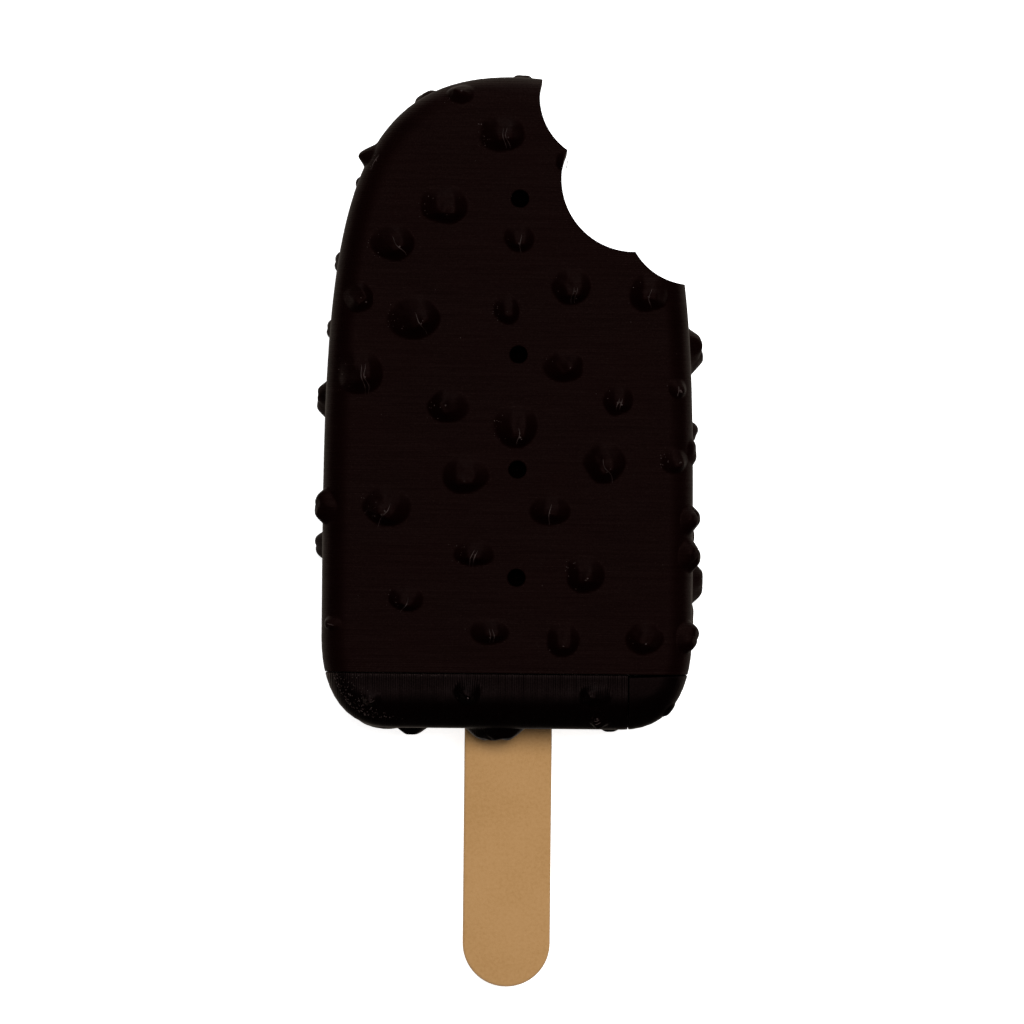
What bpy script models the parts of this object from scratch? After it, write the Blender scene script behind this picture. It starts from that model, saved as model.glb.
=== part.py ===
"""A moulded plastic copy of a nutty chocolate ice cream bar with a bite taken out of it, lying on its back.

X runs across the bar and Y along it, from the bottom edge (0) to the rounded top. Z runs from the back to
the front face, with 0 at mid thickness. Everything hangs on one empty, which is moved at the end so that
the middle of the model's base is at the world's origin. Lengths are in metres.
"""

import math
import random

import bmesh
import bpy
from mathutils import Vector
from mathutils.bvhtree import BVHTree

MM = 0.001

# The bar: a slab with rounded edges, widest near its bottom and round at its top.
BAR_LENGTH = 78.2 * MM
BAR_THICKNESS = 22 * MM
HALF_WIDTH = 22.4 * MM
WIDEST_Y = 16.2 * MM
BOTTOM_FLAT_HALF = 13.4 * MM
EDGE_ROUND = 3.2 * MM
SHOULDER_Y = 58.8 * MM
CORNER_PULL_X = 21.1 * MM
CORNER_PULL_Y = 6.0 * MM
CROWN_PULL_X = 22.1 * MM
FRONT_Z = BAR_THICKNESS / 2

# The split: a long bottom cap and a small corner piece, each a hair away from the shell.
GAP = 0.3 * MM
SEAM_Y = 6.65 * MM
SLIT_X = 14.6 * MM
CORNER_DROP = 0.25 * MM
KEEP_REACH = 120 * MM

# The bite is three scallops (x, y, radius), cut straight through.
BITE_SCALLOPS = (
    (11.14 * MM, 76.02 * MM, 7.76 * MM),
    (14.83 * MM, 66.23 * MM, 8.76 * MM),
    (21.70 * MM, 61.33 * MM, 7.70 * MM),
)

# Four blind holes down the front face.
HOLE_X = 1.1 * MM
HOLE_YS = (63.7 * MM, 45.0 * MM, 31.2 * MM, 18.2 * MM)
HOLE_RADIUS = 1.05 * MM
HOLE_DEPTH = 8 * MM

# The stick: flat, with round ends, held in a slot.
STICK_X = 0.3 * MM
STICK_HALF_WIDTH = 5.15 * MM
STICK_THICKNESS = 2 * MM
STICK_BEVEL = 0.35 * MM
STICK_BOTTOM_Y = -30.75 * MM
STICK_TOP_Y = 14.3 * MM
CIRCLE_HANDLE = 0.5523

# The nuts under the coating.
NUT_SIDES = 10
NUT_SINK = 0.45 * MM
NUT_ROOT = 1.0 * MM
REST_CLEARANCE = 1.5 * MM
REST_Z = -FRONT_Z - REST_CLEARANCE
RIDGE_SHARE = 0.45
# From the ridge outwards: how far each ring has gone to the foot, and how high it is. The foot runs out gently.
NUT_RINGS = ((0.2, 0.94), (0.5, 0.66), (0.8, 0.22))
FOOT_REACH = 1.06
ROOT_REACH = 0.6

# Nuts of the front, in mm and degrees: x, y, width, length, height, and the direction of the ridge from +X.
FRONT_NUTS = (
    (-6.2, 76.4, 3.8, 3.0, 1.2, 60),
    (-1.1, 71.7, 6.0, 4.6, 1.6, 98),
    (-17.0, 69.0, 3.2, 3.6, 1.5, 120),
    (6.6, 68.4, 2.6, 2.6, 0.8, 90),
    (-8.0, 63.1, 6.1, 4.9, 1.6, 95),
    (1.1, 59.0, 4.1, 3.4, 1.2, 90),
    (-14.2, 58.3, 6.0, 4.5, 1.5, 128),
    (7.3, 53.3, 5.0, 4.8, 1.5, 90),
    (16.6, 52.6, 4.8, 4.9, 1.5, 90),
    (-18.3, 51.7, 4.1, 3.9, 1.3, 130),
    (-0.4, 50.4, 3.3, 3.6, 1.1, 90),
    (-11.4, 49.3, 6.7, 5.4, 1.8, 120),
    (6.5, 43.6, 5.1, 4.0, 1.4, 135),
    (-17.8, 42.7, 6.0, 5.9, 1.9, 100),
    (20.3, 41.2, 2.8, 2.6, 0.8, 90),
    (13.1, 39.8, 3.7, 4.1, 1.2, 90),
    (-7.2, 38.8, 5.4, 4.0, 1.4, 20),
    (0.8, 36.5, 5.4, 5.3, 1.6, 90),
    (20.0, 32.5, 3.6, 3.2, 1.0, 100),
    (11.5, 32.2, 5.3, 5.3, 1.6, 115),
    (-5.2, 30.5, 6.2, 4.7, 1.5, 90),
    (-14.6, 26.7, 6.0, 4.9, 1.7, 60),
    (5.0, 26.5, 5.1, 3.8, 1.3, 85),
    (-4.0, 21.2, 5.3, 3.4, 1.3, 75),
    (9.3, 18.8, 4.8, 4.9, 1.5, 95),
    (-12.1, 15.7, 4.7, 3.4, 1.2, 65),
    (-21.0, 12.5, 2.9, 1.9, 0.7, 0),
    (-2.1, 11.8, 4.9, 3.3, 1.3, 90),
    (16.5, 11.2, 4.8, 4.1, 1.4, 60),
    (6.7, 10.9, 4.1, 4.2, 1.1, 90),
    (-4.5, 4.6, 3.6, 2.8, 1.1, 50),
    (10.8, 4.1, 4.1, 2.9, 1.1, 20),
    (-16.1, 3.5, 2.6, 2.0, 0.8, 40),
    (11.3, 1.0, 2.6, 2.0, 0.8, 20),
)

# Nuts of the sides, in mm and degrees: y, how far the tip stands out past the bar's outline, length along Y,
# and how far the nut is turned from the wall's middle towards the front.
LEFT_NUTS = (
    (65.6, 0.3, 3.4, -40),
    (56.3, 0.45, 3.6, -38),
    (48.1, 0.55, 3.8, -35),
    (39.5, 1.2, 4.8, 0),
    (26.6, 1.0, 4.8, 24),
    (21.9, 0.8, 4.0, -30),
)
RIGHT_NUTS = (
    (45.7, 1.7, 6.4, 0),
    (36.0, 0.55, 3.8, -35),
    (25.4, 0.7, 3.6, 32),
    (21.2, 0.8, 4.4, 30),
    (18.2, 1.35, 4.8, -8),
    (10.9, 0.65, 4.0, 33),
)
# Nuts of the bottom and top edges, in mm: x, z, how far the tip stands out, length along X.
BOTTOM_NUTS = ((-11.4, -2.0, 0.85, 4.2), (-1.6, 5.0, 1.4, 6.0), (12.6, -4.5, 0.5, 3.2))
TOP_NUTS = ((-10.3, -5.0, 0.9, 4.4), (1.3, -4.5, 0.8, 3.4))

# Nuts of the back, scattered evenly by a seeded draw: each goes to the roomiest of some random places.
NUT_SEED = 11
BACK_NUT_COUNT = 27
BACK_CANDIDATES = 24
BACK_INSET = 4.5 * MM
BACK_WIDTHS = (4.4, 6.2)
BACK_STRETCHES = (0.75, 1.0)
BACK_NUT_HEIGHT = 1.75

CHOCOLATE_BROWN = (0.012, 0.006, 0.0055)
STICK_TAN = (0.456, 0.254, 0.102)


def clear_scene():
    for obj in list(bpy.data.objects):
        bpy.data.objects.remove(obj, do_unlink=True)


def new_collection(name):
    collection = bpy.data.collections.new(name)
    bpy.context.scene.collection.children.link(collection)
    return collection


def plastic(name, colour, roughness):
    material = bpy.data.materials.new(name)
    material.use_nodes = True
    shader = material.node_tree.nodes["Principled BSDF"]
    shader.inputs["Base Color"].default_value = (*colour, 1)
    shader.inputs["Roughness"].default_value = roughness
    shader.inputs["Metallic"].default_value = 0
    return material


def new_object(name, data, collection):
    obj = bpy.data.objects.new(name, data)
    collection.objects.link(obj)
    return obj


def outline_object(name, points, collection, thickness, edge_round, grow=0, steps=20, edge_steps=2):
    """A flat plate round a closed outline: each point is (place, handle before it, handle after it)."""
    curve = bpy.data.curves.new(name, "CURVE")
    curve.dimensions = "2D"
    curve.fill_mode = "BOTH"
    curve.resolution_u = steps
    curve.extrude = thickness / 2 - edge_round
    curve.bevel_depth = edge_round
    curve.bevel_resolution = edge_steps
    curve.offset = grow - edge_round
    spline = curve.splines.new("BEZIER")
    spline.bezier_points.add(len(points) - 1)
    spline.use_cyclic_u = True
    for knot, (place, before, after) in zip(spline.bezier_points, points):
        knot.co = (*place, 0)
        knot.handle_left_type = "VECTOR" if before is None else "FREE"
        knot.handle_right_type = "VECTOR" if after is None else "FREE"
        if before is not None:
            knot.handle_left = (*before, 0)
        if after is not None:
            knot.handle_right = (*after, 0)
    guide = new_object(name + "_outline", curve, collection)
    mesh = mesh_of(guide)
    bpy.data.objects.remove(guide, do_unlink=True)
    mesh.name = name
    return new_object(name, mesh, collection)


def mesh_of(obj):
    """The object's shape as one closed mesh, with its modifiers applied."""
    bpy.context.view_layer.update()
    graph = bpy.context.evaluated_depsgraph_get()
    mesh = bpy.data.meshes.new_from_object(obj.evaluated_get(graph))
    work = bmesh.new()
    work.from_mesh(mesh)
    bmesh.ops.remove_doubles(work, verts=work.verts, dist=0.001 * MM)
    bmesh.ops.recalc_face_normals(work, faces=work.faces)
    work.to_mesh(mesh)
    work.free()
    return mesh


def apply_modifiers(obj):
    mesh = mesh_of(obj)
    obj.modifiers.clear()
    obj.data = mesh


def boolean(obj, name, operation, other):
    """Joins, cuts or intersects the object with another object, or with all those of a collection."""
    modifier = obj.modifiers.new(name, "BOOLEAN")
    modifier.operation = operation
    modifier.solver = "EXACT"
    if isinstance(other, bpy.types.Collection):
        modifier.operand_type = "COLLECTION"
        modifier.collection = other
    else:
        modifier.object = other


def as_cutter(obj):
    obj.hide_render = True
    obj.display_type = "WIRE"
    return obj


def cylinder_cutter(name, collection, x, y, radius, low_z, high_z, sides):
    mesh = bpy.data.meshes.new(name)
    work = bmesh.new()
    bmesh.ops.create_cone(
        work, cap_ends=True, segments=sides, radius1=radius, radius2=radius, depth=high_z - low_z
    )
    work.to_mesh(mesh)
    work.free()
    obj = new_object(name, mesh, collection)
    obj.location = (x, y, (low_z + high_z) / 2)
    return as_cutter(obj)


def keep_box(name, collection, low_x, high_x, low_y, high_y, drop=0):
    """A box deeper than the bar. Its top face drops by that much over its low X edge."""
    mesh = bpy.data.meshes.new(name)
    work = bmesh.new()
    bmesh.ops.create_cube(work, size=1)
    for vert in work.verts:
        right, top = vert.co.x > 0, vert.co.y > 0
        y = high_y if top else low_y
        if top and not right:
            y -= drop
        vert.co = (high_x if right else low_x, y, vert.co.z * 2 * BAR_THICKNESS)
    work.to_mesh(mesh)
    work.free()
    return as_cutter(new_object(name, mesh, collection))


def bar_points():
    corner_low = (CORNER_PULL_X, 0)
    corner_high = (HALF_WIDTH, CORNER_PULL_Y)
    shoulder = (HALF_WIDTH, SHOULDER_Y)

    def mirrored(point):
        return (-point[0], point[1])

    return (
        ((BOTTOM_FLAT_HALF, 0), None, corner_low),
        ((HALF_WIDTH, WIDEST_Y), corner_high, shoulder),
        ((0, BAR_LENGTH), (CROWN_PULL_X, BAR_LENGTH), (-CROWN_PULL_X, BAR_LENGTH)),
        ((-HALF_WIDTH, WIDEST_Y), mirrored(shoulder), mirrored(corner_high)),
        ((-BOTTOM_FLAT_HALF, 0), mirrored(corner_low), None),
    )


def stick_points():
    """A stick outline with a half circle at each end."""
    radius = STICK_HALF_WIDTH
    pull = radius * CIRCLE_HANDLE
    left, right = STICK_X - radius, STICK_X + radius
    low, high = STICK_BOTTOM_Y + radius, STICK_TOP_Y - radius
    return (
        ((right, low), (right, low - pull), None),
        ((right, high), None, (right, high + pull)),
        ((STICK_X, STICK_TOP_Y), (STICK_X + pull, STICK_TOP_Y), (STICK_X - pull, STICK_TOP_Y)),
        ((left, high), (left, high + pull), None),
        ((left, low), None, (left, low - pull)),
        ((STICK_X, STICK_BOTTOM_Y), (STICK_X - pull, STICK_BOTTOM_Y), (STICK_X + pull, STICK_BOTTOM_Y)),
    )


class Bar:
    """The plain slab, and the places on its surface where nuts sit."""

    def __init__(self, obj):
        work = bmesh.new()
        work.from_mesh(obj.data)
        self.tree = BVHTree.FromBMesh(work)
        work.free()

    def half_width_at(self, y):
        place, _, _, _ = self.tree.ray_cast(Vector((1, y, 0)), Vector((-1, 0, 0)))
        return place.x

    def seen_along(self, start, direction):
        """Where a line of sight first meets the slab, and the surface's direction there."""
        place, normal, _, _ = self.tree.ray_cast(Vector(start), Vector(direction))
        return place, normal

    def side_place(self, side, y, turn):
        """A place on a side: the middle of the wall, or on a rounded edge where the turn is not 0."""
        direction = Vector((side * math.cos(turn), 0, math.sin(turn)))
        edge_x = side * (self.half_width_at(y) - EDGE_ROUND)
        edge_z = math.copysign(FRONT_Z - EDGE_ROUND, turn) if turn else 0
        place, _, _, _ = self.tree.find_nearest(Vector((edge_x, y, edge_z)) + direction * EDGE_ROUND)
        return place, direction


def nut_object(name, bar, collection, place, normal, width, length, height, lean, rng):
    """One nut under the coating: a mound that rises to a short ridge, rooted in the slab."""
    along_hint = Vector((0, 1, 0)) if abs(normal.y) < 0.8 else Vector((0, 0, 1))
    along = (along_hint - normal * along_hint.dot(normal)).normalized()
    across = along.cross(normal).normalized()
    ridge = Vector((math.cos(lean), math.sin(lean)))
    ridge_half = RIDGE_SHARE * min(width, length) / 2
    foot_scale = [rng.uniform(0.9, 1.08) for _ in range(NUT_SIDES)]
    rings = [(0, height)]
    rings += [(reach, rise * height) for reach, rise in NUT_RINGS]
    rings += [(FOOT_REACH, -NUT_SINK), (ROOT_REACH, -NUT_ROOT), (0, -NUT_ROOT)]
    mesh = bpy.data.meshes.new(name)
    work = bmesh.new()
    bmesh.ops.create_uvsphere(work, u_segments=NUT_SIDES, v_segments=len(rings) - 1, radius=1)
    for vert in work.verts:
        ring = round(math.acos(max(-1, min(1, vert.co.z))) / math.pi * (len(rings) - 1))
        reach, rise = rings[ring]
        angle = math.atan2(vert.co.y, vert.co.x)
        scale = foot_scale[round(angle / math.tau * NUT_SIDES) % NUT_SIDES]
        towards = Vector((math.cos(angle), math.sin(angle)))
        foot = Vector((towards.x * width / 2, towards.y * length / 2)) * scale
        top = ridge * (ridge_half * towards.dot(ridge))
        spot = top.lerp(foot, reach) if reach else Vector((0, 0))
        wanted = place + across * spot.x + along * spot.y
        skin, skin_normal, _, _ = bar.tree.find_nearest(wanted)
        point = skin + (skin_normal + 2 * normal).normalized() * rise
        point.z = max(point.z, REST_Z)
        vert.co = point
    work.to_mesh(mesh)
    work.free()
    return new_object(name, mesh, collection)


def front_nuts(bar, collection, rng):
    for number, (x, y, width, length, height, lean) in enumerate(FRONT_NUTS, 1):
        place, normal = bar.seen_along((x * MM, y * MM, BAR_THICKNESS), (0, 0, -1))
        nut_object(
            f"front_nut_{number:02d}", bar, collection, place, normal,
            width * MM, length * MM, height * MM, math.radians(lean), rng,
        )  # fmt: skip


def side_nuts(bar, collection, rng):
    for side, nuts in ((-1, LEFT_NUTS), (1, RIGHT_NUTS)):
        for number, (y, stand_out, length, turn) in enumerate(nuts, 1):
            turn = math.radians(turn)
            height = (EDGE_ROUND + stand_out * MM) / math.cos(turn) - EDGE_ROUND
            place, normal = bar.side_place(side, y * MM, turn)
            nut_object(
                f"side_nut_{side}_{number:02d}", bar, collection, place, normal,
                0.9 * length * MM, length * MM, height, rng.uniform(0, math.pi), rng,
            )  # fmt: skip


def end_nuts(bar, collection, rng):
    for side, nuts in ((-1, BOTTOM_NUTS), (1, TOP_NUTS)):
        for number, (x, z, height, length) in enumerate(nuts, 1):
            start = (x * MM, side * 2 * BAR_LENGTH, z * MM)
            place, normal = bar.seen_along(start, (0, -side, 0))
            nut_object(
                f"end_nut_{side}_{number:02d}", bar, collection, place, normal,
                length * MM, 0.85 * length * MM, height * MM, rng.uniform(0, math.pi), rng,
            )  # fmt: skip


def back_nuts(bar, collection, rng):
    places = []
    for _ in range(BACK_NUT_COUNT):
        candidates = []
        for _ in range(BACK_CANDIDATES):
            y = rng.uniform(SEAM_Y + BACK_INSET, BAR_LENGTH - BACK_INSET)
            candidates.append((rng.uniform(-1, 1) * (bar.half_width_at(y) - BACK_INSET), y))
        places.append(max(candidates, key=lambda spot: min((math.dist(spot, p) for p in places), default=0)))
    for number, (x, y) in enumerate(places, 1):
        place, normal = bar.seen_along((x, y, -BAR_THICKNESS), (0, 0, 1))
        width = rng.uniform(*BACK_WIDTHS) * MM
        nut_object(
            f"back_nut_{number:02d}", bar, collection, place, normal,
            width, width * rng.uniform(*BACK_STRETCHES), BACK_NUT_HEIGHT * MM, rng.uniform(0, math.pi), rng,
        )  # fmt: skip


def nutty_bar(collection):
    """The whole bar with its nuts joined on, before it is bitten, drilled and split."""
    body = outline_object("bar_body", bar_points(), collection, BAR_THICKNESS, EDGE_ROUND)
    bar = Bar(body)
    rng = random.Random(NUT_SEED)
    nuts = new_collection("nuts")
    front_nuts(bar, nuts, rng)
    side_nuts(bar, nuts, rng)
    end_nuts(bar, nuts, rng)
    back_nuts(bar, nuts, rng)
    boolean(body, "nuts", "UNION", nuts)
    apply_modifiers(body)
    for nut in list(nuts.objects):
        bpy.data.objects.remove(nut, do_unlink=True)
    bpy.data.collections.remove(nuts)
    return body


def main():
    clear_scene()
    parts = new_collection("ice_cream_bar")
    cutters = new_collection("cutters")
    shell_cutters = bpy.data.collections.new("shell_cutters")
    cutters.children.link(shell_cutters)

    brown = plastic("dark_brown_plastic", CHOCOLATE_BROWN, 0.45)
    tan = plastic("tan_plastic", STICK_TAN, 0.6)

    through = BAR_THICKNESS
    for number, (x, y, radius) in enumerate(BITE_SCALLOPS, 1):
        cylinder_cutter(f"bite_{number}", shell_cutters, x, y, radius, -through, through, 48)
    for number, y in enumerate(HOLE_YS, 1):
        low = FRONT_Z - HOLE_DEPTH
        cylinder_cutter(f"hole_{number}", shell_cutters, HOLE_X, y, HOLE_RADIUS, low, through, 16)
    slot = outline_object(
        "stick_slot", stick_points(), shell_cutters, STICK_THICKNESS + 2 * GAP, 0, grow=GAP, steps=8
    )
    as_cutter(slot)

    reach = KEEP_REACH
    seam_top, seam_bottom = SEAM_Y + GAP / 2, SEAM_Y - GAP / 2
    slit_left, slit_right = SLIT_X - GAP / 2, SLIT_X + GAP / 2
    keeps = {
        "shell": keep_box("keep_shell", cutters, -reach, reach, seam_top, reach),
        "end_cap": keep_box("keep_end_cap", cutters, -reach, slit_left, -reach, seam_bottom),
        "cap_corner": keep_box(
            "keep_cap_corner", cutters, slit_right, HALF_WIDTH + EDGE_ROUND, -reach, seam_bottom, CORNER_DROP
        ),
    }

    body = nutty_bar(parts)
    pieces = []
    for name, keep in keeps.items():
        piece = new_object(name, body.data.copy(), parts)
        boolean(piece, "keep", "INTERSECT", keep)
        if name == "shell":
            boolean(piece, "bite_holes_slot", "DIFFERENCE", shell_cutters)
        if name == "end_cap":
            boolean(piece, "slot", "DIFFERENCE", slot)
        apply_modifiers(piece)
        piece.data.materials.clear()
        piece.data.materials.append(brown)
        pieces.append(piece)
    bpy.data.objects.remove(body, do_unlink=True)

    stick = outline_object(
        "stick", stick_points(), parts, STICK_THICKNESS, STICK_BEVEL, steps=10, edge_steps=1
    )
    stick.data.materials.append(tan)
    pieces.append(stick)

    for piece in pieces:
        piece.data.shade_smooth()
        piece.data.set_sharp_from_angle(angle=math.radians(40))

    corners = [Vector(corner) for piece in pieces for corner in piece.bound_box]
    low = Vector(map(min, zip(*corners)))
    high = Vector(map(max, zip(*corners)))
    origin = new_object("bar_origin", None, parts)
    for obj in (*pieces, *cutters.all_objects):
        obj.parent = origin
    origin.location = (-(low.x + high.x) / 2, -(low.y + high.y) / 2, -low.z)
    bpy.context.view_layer.update()


main()
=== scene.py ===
# The looks of a plastic model of a nutty chocolate ice cream bar with a bite out of it, seen from above.

import math
import random

import bmesh
import bpy
import numpy as np
from mathutils import Matrix, Vector, geometry, noise


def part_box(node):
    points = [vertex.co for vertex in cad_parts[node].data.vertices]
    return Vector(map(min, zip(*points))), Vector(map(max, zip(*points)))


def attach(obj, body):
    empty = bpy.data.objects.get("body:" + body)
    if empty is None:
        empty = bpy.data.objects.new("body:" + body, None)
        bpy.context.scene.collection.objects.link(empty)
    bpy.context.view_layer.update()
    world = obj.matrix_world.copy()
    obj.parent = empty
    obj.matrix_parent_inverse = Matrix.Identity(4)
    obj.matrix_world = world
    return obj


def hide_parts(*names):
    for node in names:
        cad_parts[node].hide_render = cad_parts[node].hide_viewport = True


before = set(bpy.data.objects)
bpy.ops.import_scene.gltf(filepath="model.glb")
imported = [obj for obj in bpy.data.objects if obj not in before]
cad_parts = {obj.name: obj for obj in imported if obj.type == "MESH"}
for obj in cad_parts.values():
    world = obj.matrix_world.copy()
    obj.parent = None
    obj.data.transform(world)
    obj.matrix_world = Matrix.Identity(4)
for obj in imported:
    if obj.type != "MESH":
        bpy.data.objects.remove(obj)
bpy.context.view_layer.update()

MM = 0.001

# The bar, in its own frame: 0 at the middle of its width, at its bottom edge and at mid thickness. The
# shoulder and the pulls say where the handles of the outline's curves end.
BAR_LENGTH = 78.44 * MM
BAR_THICKNESS = 22 * MM
HALF_WIDTH = 22.3 * MM
WIDEST_Y = 10.9 * MM
BOTTOM_FLAT_HALF = 14.0 * MM
EDGE_ROUND = 3.2 * MM
SHOULDER_Y = 54.9 * MM
CORNER_PULL_X = 20.5 * MM
CORNER_PULL_Y = 5.9 * MM
CROWN_PULL_X = 22.9 * MM
FRONT_Z = BAR_THICKNESS / 2
CORE_Z = FRONT_Z - EDGE_ROUND

# The seam above the cap, the slit beside its corner piece, how much lower that piece's top is at the slit,
# the easing of the cut edges, and how the bar thins below THINNING_Y.
SEAM_Y = 6.65 * MM
SLIT_X = 14.7 * MM
SLIT_GAP = 0.13 * MM
CORNER_DROP = 0.25 * MM
EDGE_EASE = 0.05 * MM
BOTTOM_THINNING = 1.6 * MM
THINNING_Y = 4.7 * MM

# The bite's scallops: x, y and radius.
BITE_SCALLOPS = (
    (11.14 * MM, 76.02 * MM, 7.76 * MM),
    (14.83 * MM, 66.23 * MM, 8.76 * MM),
    (21.70 * MM, 61.33 * MM, 7.70 * MM),
)

# The holes down the front. The mouth is eased, and the bottom is a cone, in shares of the radius.
HOLE_X = 1.1 * MM
HOLE_YS = (63.7 * MM, 45.0 * MM, 31.2 * MM, 18.2 * MM)
HOLE_RADIUS = 1.05 * MM
HOLE_DEPTH = 8 * MM
HOLE_EASE = 0.08 * MM
HOLE_TIP_SHARE = 0.1
HOLE_CONE_SHARE = 0.9

# The stick, whose lower end lies a little below that of the solid one, and the gap round it in its slot.
STICK_X = 0.3 * MM
STICK_HALF_WIDTH = 5.28 * MM
STICK_THICKNESS = 2 * MM
STICK_BEVEL = 0.35 * MM
STICK_BOTTOM_Y = -31.35 * MM
SOLID_STICK_BOTTOM_Y = -30.75 * MM
STICK_TOP_Y = 14.3 * MM
SLOT_GAP = 0.3 * MM

# Every nut has an uneven oval foot with NUT_SIDES corners, and its coating rises mostly along its own axis.
# Those of the back are flat at REST_Z, where they rest on the floor. The fine ones are slightly lumpy.
NUT_SIDES = 10
FOOT_SHARES = (0.9, 1.08)
FOOT_REACH = 1.12
CURVE_ALLOWANCE = 1.2
NUT_PULL = 2
RIDGE_SHARE = 0.45
REST_Z = -FRONT_Z - 1.5 * MM
LUMP_SIZE = 1.1 * MM
LUMP_DEPTH = 0.13

# Each nut of the front has a narrow flat crest, a little right of its middle, whose peak sits towards its
# lower end. Its slopes are straight between a rounded foot and a rounded top. All are shares of its reach.
PEAK_SHIFTS = (0.28, 0.5)
CREST_SHIFTS = (0, 0.2)
CREST_HALVES = (0.18, 0.3)
CREST_FALL = 0.05
RIDGE_ROUND = 0.2
FOOT_ROUND = 0.22

# The beads of plastic, none of which is close to the bite. Each kind has a scale and a longest stretch.
SPECK_SEED = 4
SPECK_SIZES = (0.03 * MM, 0.07 * MM)
SPECK_FLATNESS = 0.8
BITE_MARGIN = 0.2 * MM
NUT_BEAD = (1, 1.5)
CREST_BEAD = (1.8, 1.8)
CAP_BEAD = (1.1, 1.3)
SEAM_BEAD = (0.9, 1.2)
LOOSE_BEAD = (0.9, 1.5)

# How many there are beside a rough nut, beside a smooth one and on a crest, and where they lie there, as
# shares of the nut's width and length or in mm from its peak.
ROUGH_SHARE = 0.4
ROUGH_COUNTS = (7, 13)
SMOOTH_COUNTS = (0, 3)
CREST_COUNTS = (1, 1, 2, 3)
LEFT_SHARES = (0.2, 0.5)
UP_SHARES = (-0.42, 0.3)
CREST_AHEAD = (-0.4, 0.5)
CREST_BESIDE = (-0.3, 0.3)

# How many lie on the cap's left end, crowded towards its edge, along the seam and anywhere. Places are in
# mm, and the last ones across are shares of the half width.
CAP_SPECKS = 170
CAP_SPECK_YS = (0.5, 6.5)
CAP_SPECK_REACH = 4.6
CAP_SPECK_CROWDING = 1.8
SEAM_SPECKS = 26
SEAM_SPECK_XS = (-21, -7)
SEAM_SPECK_Y = 6.42
SEAM_SPECK_SPREAD = 0.06
LOOSE_SPECKS = 26
LOOSE_SPECK_YS = (1, 75)
LOOSE_SPECK_XS = (-1, 0.95)

# The threads of plastic on the crests: how far they lie beside the peak, in mm, with one of these rows for
# each nut, half their length as a share of a quarter of the nut's width, and their bends, in mm.
THREAD_ROWS = ((), (), (), (0.05,), (-0.1,), (-0.2, 0.2))
THREAD_SHARES = (0.7, 1.4)
THREAD_RADIUS = 0.05 * MM
THREAD_BENDS = (0.08, 0.2)
THREAD_WAVE = 0.42
THREAD_STEPS = 18
THREAD_SIDES = 6

# Mesh fineness.
OUTLINE_STEP = 1.2 * MM
CELL = 1.5 * MM
EDGE_STEPS = 10
FINE_CUTS = 10
PLAIN_CUTS = 4
BITE_SIDES = 128
HOLE_SIDES = 40
SLOT_ARC_STEPS = 16
STICK_ARC_STEPS = 40
BEVEL_STEPS = 5
GRID_TOLERANCE = 0.02 * MM
CUT_TOLERANCE = 0.004 * MM
SMOOTH_ANGLE = 38

# Nuts of the front, in mm and degrees: x, y, width, length, height, and the direction of the ridge from +X.
FRONT_NUTS = (
    (-6.2, 76.4, 3.8, 3.0, 1.2, 60),
    (-1.1, 71.7, 6.0, 4.6, 1.6, 98),
    (-17.0, 69.0, 3.2, 3.6, 1.3, 60),
    (6.6, 68.4, 2.6, 2.6, 0.8, 90),
    (-8.0, 63.1, 6.1, 4.9, 1.6, 95),
    (1.1, 59.0, 4.1, 3.4, 1.2, 90),
    (-14.2, 58.3, 6.0, 4.5, 1.5, 128),
    (7.3, 53.3, 5.0, 4.8, 1.5, 90),
    (16.6, 52.6, 4.8, 4.9, 1.5, 90),
    (-18.3, 51.7, 4.1, 3.9, 1.3, 130),
    (-0.4, 50.4, 3.3, 3.6, 1.1, 90),
    (-11.4, 49.3, 6.7, 5.4, 1.8, 120),
    (6.5, 43.6, 5.1, 4.0, 1.4, 135),
    (-17.8, 42.7, 6.0, 5.9, 1.9, 100),
    (20.3, 41.2, 2.8, 2.6, 0.8, 90),
    (13.1, 39.8, 3.7, 4.1, 1.2, 90),
    (-7.2, 38.8, 5.4, 4.0, 1.4, 20),
    (0.8, 36.5, 5.4, 5.3, 1.6, 90),
    (20.0, 32.5, 3.6, 3.2, 1.0, 100),
    (11.5, 32.2, 5.3, 5.3, 1.6, 115),
    (-5.2, 30.5, 6.2, 4.7, 1.5, 90),
    (-14.6, 26.7, 6.0, 4.9, 1.7, 60),
    (5.0, 26.5, 5.1, 3.8, 1.3, 85),
    (-4.0, 21.2, 5.3, 3.4, 1.3, 75),
    (9.3, 18.8, 4.8, 4.9, 1.5, 95),
    (-12.1, 15.7, 4.7, 3.4, 1.2, 65),
    (-21.0, 12.5, 2.9, 1.9, 0.7, 0),
    (-2.1, 11.8, 4.9, 3.3, 1.3, 90),
    (16.5, 11.2, 4.8, 4.1, 1.4, 60),
    (6.7, 10.9, 4.1, 4.2, 1.1, 90),
    (-4.6, 4.5, 3.4, 3.4, 1.5, 55),
    (10.8, 4.2, 4.4, 2.9, 1.1, 12),
    (-16.1, 3.5, 2.6, 2.0, 0.8, 40),
    (11.3, 1.0, 2.6, 2.0, 0.8, 20),
)

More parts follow.
